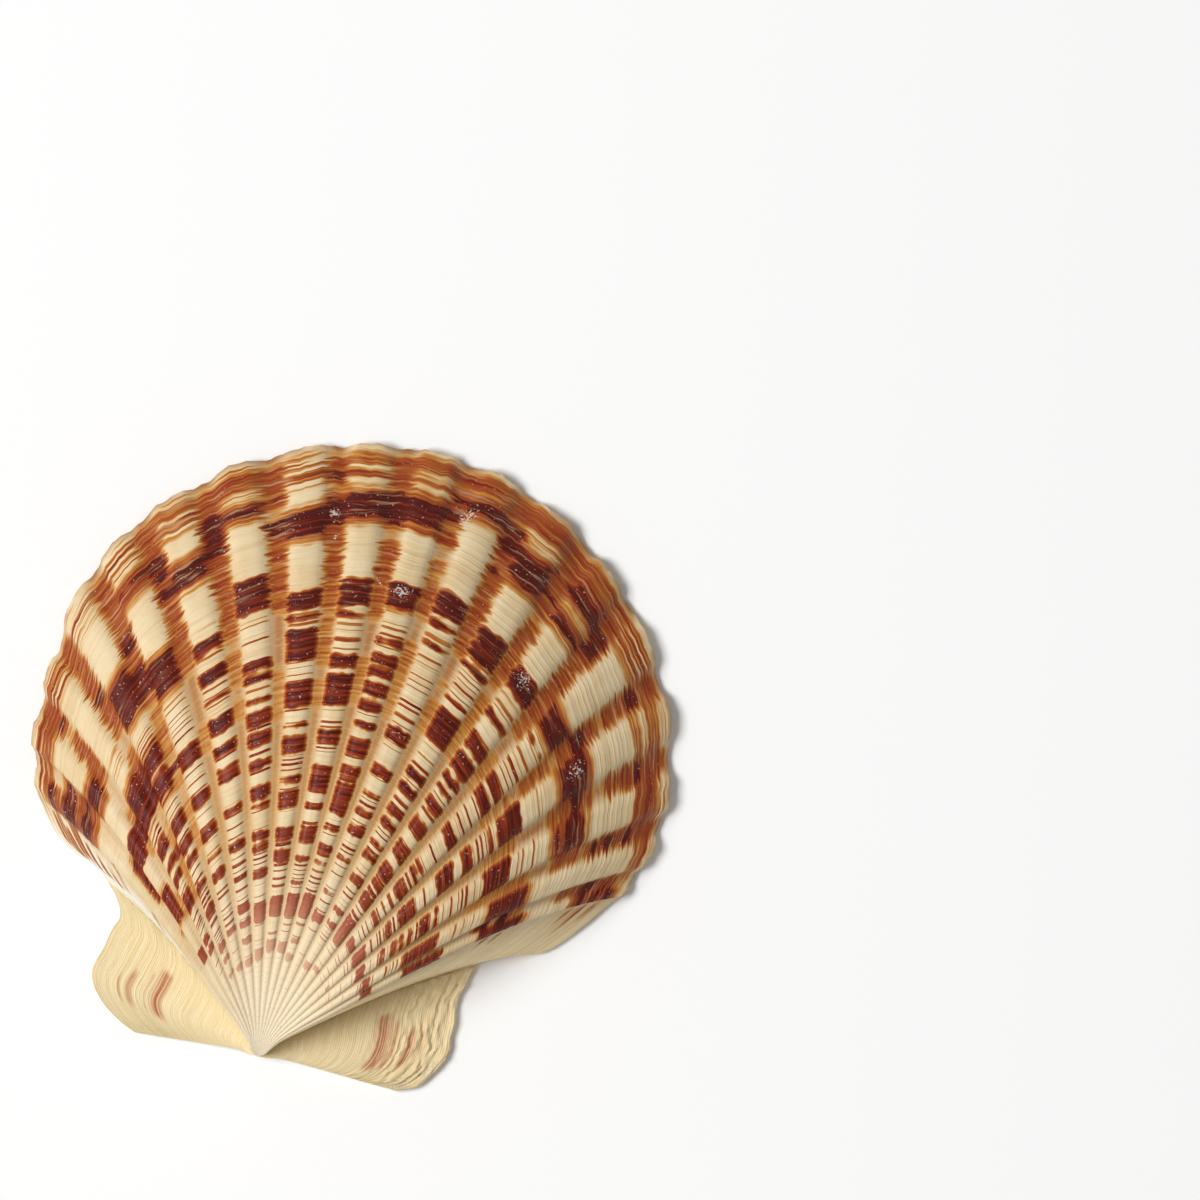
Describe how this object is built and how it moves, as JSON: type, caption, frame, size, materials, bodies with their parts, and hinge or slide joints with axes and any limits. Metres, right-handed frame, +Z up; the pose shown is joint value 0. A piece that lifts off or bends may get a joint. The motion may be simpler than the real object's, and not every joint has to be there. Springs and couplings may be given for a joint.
{
  "type": "scallop shell",
  "caption": "Single scallop valve, dome up: a fan of rounded ribs from the beak to a wavy rim, two flat ears along a straight hinge, and a hollow inside.",
  "frame": {"origin": "middle of the footprint, on the surface that the shell lies on", "axes": "+Z up out of the dome, +Y from the beak to the wavy rim, +X along the hinge line towards the larger ear"},
  "size_m": [0.059, 0.0584, 0.0149],
  "materials": {
    "shell": "satin"
  },
  "bodies": {
    "root": {"valve": "shell"}
  },
  "joints": []
}
